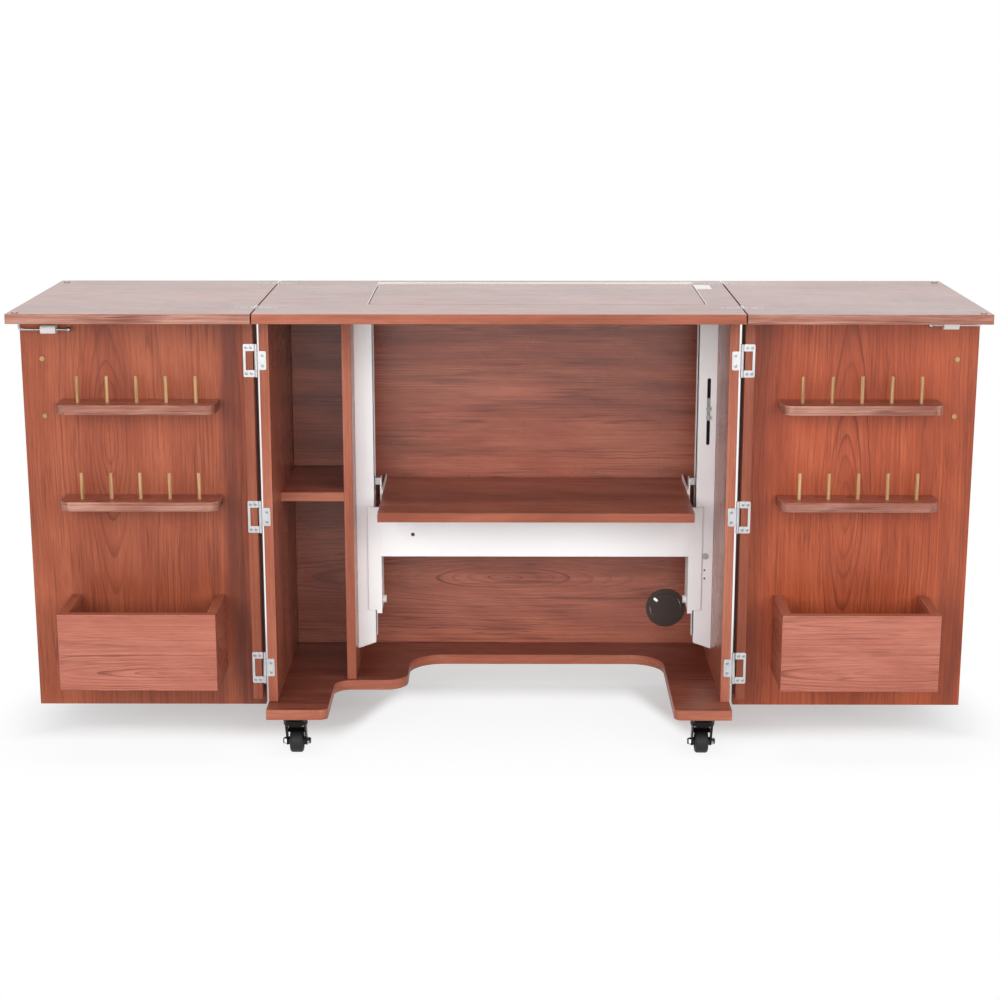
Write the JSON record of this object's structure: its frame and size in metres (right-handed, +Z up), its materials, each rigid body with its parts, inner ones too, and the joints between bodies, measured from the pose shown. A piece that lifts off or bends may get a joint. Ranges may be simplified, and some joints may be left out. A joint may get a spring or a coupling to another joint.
{
  "type": "fold-away sewing cabinet",
  "caption": "Rolling wooden work cabinet with fold-out top leaves, swing-out storage doors with peg shelves and bins, and a lift platform under a lidded opening.",
  "frame": {"origin": "on the floor below the middle of the outline's box", "axes": "+X to the right along the long top, +Y to the back, +Z up"},
  "size_m": [1.59, 0.473, 0.7634],
  "materials": {
    "laminate": "satin wood-grain laminate",
    "white_steel": "satin powder coat",
    "grey_steel": "satin paint",
    "bright_steel": "bright plated",
    "white_plastic": "moulded",
    "brown_plastic": "moulded",
    "rubber": "matte",
    "peg_wood": "plain turned wood",
    "brass": "polished",
    "black_steel": "gloss black",
    "wheel_rubber": "smooth black"
  },
  "bodies": {
    "cabinet": {"base_board": "laminate", "left_side_panel": "laminate", "right_side_panel": "laminate", "divider_panel": "laminate", "fixed_shelf": "laminate", "back_panel": "laminate", "grommet_ring": "brown_plastic", "centre_top": "laminate", "opening_liner": "white_steel", "notch_plate": "white_steel", "top_hinge_wings": "bright_steel", "cabinet_hinge_leaves": "bright_steel", "hinge_pins": "bright_steel", "left_lift_column": "white_steel", "right_lift_column": "white_steel", "adjuster": "grey_steel", "strut_cylinders": "grey_steel", "caster_plates": "bright_steel"},
    "grommet_cap_body": {"grommet_cap": "brown_plastic"},
    "lid_body": {"lid": "laminate"},
    "lift": {"platform": "laminate", "crossbar": "white_steel", "carriages": "white_steel", "guide_blocks": "white_plastic", "platform_arms": "grey_steel", "strut_rods": "bright_steel"},
    "left_leaf": {"left_leaf_board": "laminate", "left_leaf_bumpers": "rubber", "left_leaf_hinge_wings": "bright_steel"},
    "left_door": {"left_door_panel": "laminate", "left_door_stile": "laminate", "left_peg_shelves": "laminate", "left_pegs": "peg_wood", "left_bin_front": "laminate", "left_bin_box": "laminate", "left_handle": "brass", "left_door_hinge_leaves": "bright_steel", "left_bolt_guide": "white_plastic"},
    "left_bolt_body": {"left_bolt": "bright_steel"},
    "right_leaf": {"right_leaf_board": "laminate", "right_leaf_bumpers": "rubber", "right_leaf_hinge_wings": "bright_steel"},
    "right_door": {"right_door_panel": "laminate", "right_door_stile": "laminate", "right_peg_shelves": "laminate", "right_pegs": "peg_wood", "right_bin_front": "laminate", "right_bin_box": "laminate", "right_handle": "brass", "right_door_hinge_leaves": "bright_steel", "right_bolt_guide": "white_plastic"},
    "right_bolt_body": {"right_bolt": "bright_steel"},
    "front_left_swivel": {"front_left_fork": "black_steel"},
    "front_left_roller": {"front_left_wheel": "wheel_rubber"},
    "front_right_swivel": {"front_right_fork": "black_steel"},
    "front_right_roller": {"front_right_wheel": "wheel_rubber"},
    "rear_left_swivel": {"rear_left_fork": "black_steel"},
    "rear_left_roller": {"rear_left_wheel": "wheel_rubber"},
    "rear_right_swivel": {"rear_right_fork": "black_steel"},
    "rear_right_roller": {"rear_right_wheel": "wheel_rubber"}
  },
  "joints": [
    {"name": "left_leaf_fold", "type": "hinge", "parent": "cabinet", "child": "left_leaf", "pos_m": [-0.3975, 0.008, 0.761], "axis": [0, 1, 0], "range_deg": [0, 180]},
    {"name": "left_door_swing", "type": "hinge", "parent": "cabinet", "child": "left_door", "pos_m": [-0.3985, -0.1524, 0.412], "axis": [0, 0, 1], "range_deg": [0, 180]},
    {"name": "left_bolt_slide", "type": "slide", "parent": "left_door", "child": "left_bolt_body", "axis": [1, 0, 0], "range_m": [-0.015, 0.02]},
    {"name": "right_leaf_fold", "type": "hinge", "parent": "cabinet", "child": "right_leaf", "pos_m": [0.3975, 0.008, 0.761], "axis": [0, -1, 0], "range_deg": [0, 180]},
    {"name": "right_door_swing", "type": "hinge", "parent": "cabinet", "child": "right_door", "pos_m": [0.3985, -0.1524, 0.412], "axis": [0, 0, -1], "range_deg": [0, 180]},
    {"name": "right_bolt_slide", "type": "slide", "parent": "right_door", "child": "right_bolt_body", "axis": [-1, 0, 0], "range_m": [-0.015, 0.02]},
    {"name": "lift_raise", "type": "slide", "parent": "cabinet", "child": "lift", "axis": [0, 0, 1], "range_m": [0, 0.24]},
    {"name": "lid_lift_out", "type": "slide", "parent": "cabinet", "child": "lid_body", "axis": [0, 0, -1], "range_m": [-0.15, 0]},
    {"name": "grommet_cap_turn", "type": "hinge", "parent": "cabinet", "child": "grommet_cap_body", "pos_m": [0.3076, 0.204, 0.1564], "axis": [0, 1, 0], "continuous": true},
    {"name": "front_left_caster_swivel", "type": "hinge", "parent": "cabinet", "child": "front_left_swivel", "pos_m": [-0.346, -0.1755, 0.06], "axis": [0, 0, 1], "continuous": true},
    {"name": "front_left_wheel_roll", "type": "hinge", "parent": "front_left_swivel", "child": "front_left_roller", "pos_m": [-0.346, -0.1575, 0.02], "axis": [1, 0, 0], "continuous": true},
    {"name": "front_right_caster_swivel", "type": "hinge", "parent": "cabinet", "child": "front_right_swivel", "pos_m": [0.346, -0.1755, 0.06], "axis": [0, 0, 1], "continuous": true},
    {"name": "front_right_wheel_roll", "type": "hinge", "parent": "front_right_swivel", "child": "front_right_roller", "pos_m": [0.346, -0.1575, 0.02], "axis": [1, 0, 0], "continuous": true},
    {"name": "rear_left_caster_swivel", "type": "hinge", "parent": "cabinet", "child": "rear_left_swivel", "pos_m": [-0.346, 0.1615, 0.06], "axis": [0, 0, 1], "continuous": true},
    {"name": "rear_left_wheel_roll", "type": "hinge", "parent": "rear_left_swivel", "child": "rear_left_roller", "pos_m": [-0.346, 0.1795, 0.02], "axis": [1, 0, 0], "continuous": true},
    {"name": "rear_right_caster_swivel", "type": "hinge", "parent": "cabinet", "child": "rear_right_swivel", "pos_m": [0.346, 0.1615, 0.06], "axis": [0, 0, 1], "continuous": true},
    {"name": "rear_right_wheel_roll", "type": "hinge", "parent": "rear_right_swivel", "child": "rear_right_roller", "pos_m": [0.346, 0.1795, 0.02], "axis": [1, 0, 0], "continuous": true}
  ]
}
